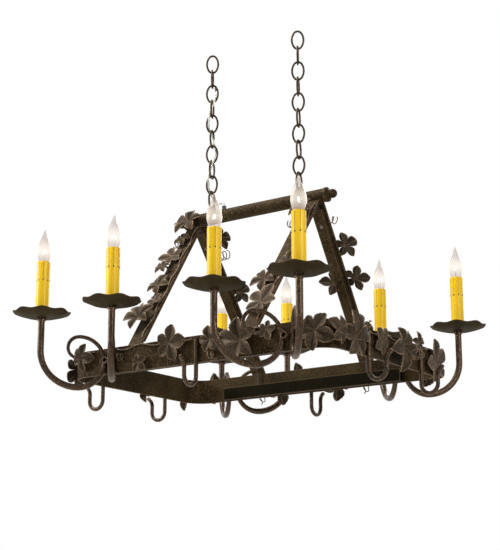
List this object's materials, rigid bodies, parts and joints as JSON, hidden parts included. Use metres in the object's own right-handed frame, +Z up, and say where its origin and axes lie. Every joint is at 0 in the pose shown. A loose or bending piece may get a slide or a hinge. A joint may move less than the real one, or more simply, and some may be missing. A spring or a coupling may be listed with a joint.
{
  "type": "pot rack",
  "caption": "Hanging wrought-iron pot rack: flat band with hooks under an A-frame and ridge tube, dressed with ivy leaves and vines, with candle lamps on scrolled arms, hung on chains.",
  "frame": {"origin": "midway between the two ceiling hooks, at the height where they bear inside the top links", "axes": "+X along the rack's long side, +Y across it towards the side that is far in the picture, +Z up"},
  "size_m": [0.712, 0.694, 0.7541],
  "materials": {
    "frame_iron": "dark brown-black hammered finish with copper rubbed through on the edges",
    "rod_iron": "dark brown finish with copper highlights along the rods",
    "pan_iron": "dark brown finish, satin",
    "chain_iron": "dark brown finish, satin",
    "leaf_iron": "dark grey-brown finish with lighter veins and edges",
    "wire_iron": "brown finish with copper highlights",
    "candle_sleeve": "yellow wax-look candle sleeve with darker drips",
    "bulb_glass": "clear glass with a screw base",
    "socket": "black moulded socket",
    "clear_lead": "clear lamp lead with two copper cores",
    "inner_lead": "black insulation",
    "screw": "darkened steel",
    "inlet": "black bushing"
  },
  "bodies": {
    "ceiling_links": {"top_links": "chain_iron"},
    "swing_links": {"second_links": "chain_iron"},
    "left_chain": {"chain_left": "chain_iron", "supply_lead": "clear_lead"},
    "right_chain": {"chain_right": "chain_iron"},
    "rack": {"arm_far_left_inner": "rod_iron", "arm_far_left_outer": "rod_iron", "arm_far_right_inner": "rod_iron", "arm_far_right_outer": "rod_iron", "arm_hubs": "rod_iron", "arm_near_left_inner": "rod_iron", "arm_near_left_outer": "rod_iron", "arm_near_right_inner": "rod_iron", "arm_near_right_outer": "rod_iron", "band": "frame_iron", "cover_screws": "screw", "drip_pans": "pan_iron", "eye_left": "frame_iron", "eye_right": "frame_iron", "finials": "frame_iron", "hook_far": "rod_iron", "hook_left_far": "rod_iron", "hook_left_near": "rod_iron", "hook_near": "rod_iron", "hook_right_far": "rod_iron", "hook_right_near": "rod_iron", "inner_leads": "inner_lead", "lamp_sockets": "socket", "lead_inlet": "inlet", "leaves_far": "leaf_iron", "leaves_left": "leaf_iron", "leaves_near": "leaf_iron", "leaves_right": "leaf_iron", "leaves_struts": "leaf_iron", "raceway_far": "frame_iron", "raceway_near": "frame_iron", "ridge_tube": "frame_iron", "sleeve_far_left_inner": "candle_sleeve", "sleeve_far_left_outer": "candle_sleeve", "sleeve_far_right_inner": "candle_sleeve", "sleeve_far_right_outer": "candle_sleeve", "sleeve_near_left_inner": "candle_sleeve", "sleeve_near_left_outer": "candle_sleeve", "sleeve_near_right_inner": "candle_sleeve", "sleeve_near_right_outer": "candle_sleeve", "strut_covers": "frame_iron", "strut_far_left": "frame_iron", "strut_far_right": "frame_iron", "strut_near_left": "frame_iron", "strut_near_right": "frame_iron", "tendrils": "wire_iron", "vines": "wire_iron"},
    "lamp_far_left_inner": {"bulb_far_left_inner": "bulb_glass"},
    "lamp_far_left_outer": {"bulb_far_left_outer": "bulb_glass"},
    "lamp_far_right_inner": {"bulb_far_right_inner": "bulb_glass"},
    "lamp_far_right_outer": {"bulb_far_right_outer": "bulb_glass"},
    "lamp_near_left_inner": {"bulb_near_left_inner": "bulb_glass"},
    "lamp_near_left_outer": {"bulb_near_left_outer": "bulb_glass"},
    "lamp_near_right_inner": {"bulb_near_right_inner": "bulb_glass"},
    "lamp_near_right_outer": {"bulb_near_right_outer": "bulb_glass"}
  },
  "joints": [
    {"name": "front_back_swing", "type": "hinge", "parent": "ceiling_links", "child": "swing_links", "pos_m": [0, 0, -0.0359], "axis": [1, 0, 0], "range_deg": [-20, 20]},
    {"name": "side_swing", "type": "hinge", "parent": "swing_links", "child": "left_chain", "pos_m": [-0.108, 0, -0.0694], "axis": [0, 1, 0], "range_deg": [-15, 15]},
    {"name": "right_chain_swing", "type": "hinge", "parent": "swing_links", "child": "right_chain", "pos_m": [0.108, 0, -0.0694], "axis": [0, 1, 0], "range_deg": [-15, 15]},
    {"name": "rack_level", "type": "hinge", "parent": "left_chain", "child": "rack", "pos_m": [-0.108, 0, -0.3374], "axis": [0, 1, 0], "range_deg": [-15, 15], "deforming": ["supply_lead"]},
    {"name": "turn_bulb_far_left_inner", "type": "hinge", "parent": "rack", "child": "lamp_far_left_inner", "pos_m": [-0.118, 0.291, -0.5045], "axis": [0, 0, 1], "continuous": true},
    {"name": "turn_bulb_far_left_outer", "type": "hinge", "parent": "rack", "child": "lamp_far_left_outer", "pos_m": [-0.297, 0.291, -0.5045], "axis": [0, 0, 1], "continuous": true},
    {"name": "turn_bulb_far_right_inner", "type": "hinge", "parent": "rack", "child": "lamp_far_right_inner", "pos_m": [0.118, 0.291, -0.5045], "axis": [0, 0, 1], "continuous": true},
    {"name": "turn_bulb_far_right_outer", "type": "hinge", "parent": "rack", "child": "lamp_far_right_outer", "pos_m": [0.297, 0.291, -0.5045], "axis": [0, 0, 1], "continuous": true},
    {"name": "turn_bulb_near_left_inner", "type": "hinge", "parent": "rack", "child": "lamp_near_left_inner", "pos_m": [-0.118, -0.291, -0.5045], "axis": [0, 0, 1], "continuous": true},
    {"name": "turn_bulb_near_left_outer", "type": "hinge", "parent": "rack", "child": "lamp_near_left_outer", "pos_m": [-0.297, -0.291, -0.5045], "axis": [0, 0, 1], "continuous": true},
    {"name": "turn_bulb_near_right_inner", "type": "hinge", "parent": "rack", "child": "lamp_near_right_inner", "pos_m": [0.118, -0.291, -0.5045], "axis": [0, 0, 1], "continuous": true},
    {"name": "turn_bulb_near_right_outer", "type": "hinge", "parent": "rack", "child": "lamp_near_right_outer", "pos_m": [0.297, -0.291, -0.5045], "axis": [0, 0, 1], "continuous": true}
  ],
  "couplings": [
    {"joint": "right_chain_swing", "follows": "side_swing", "ratio": 1},
    {"joint": "rack_level", "follows": "side_swing", "ratio": -1}
  ]
}
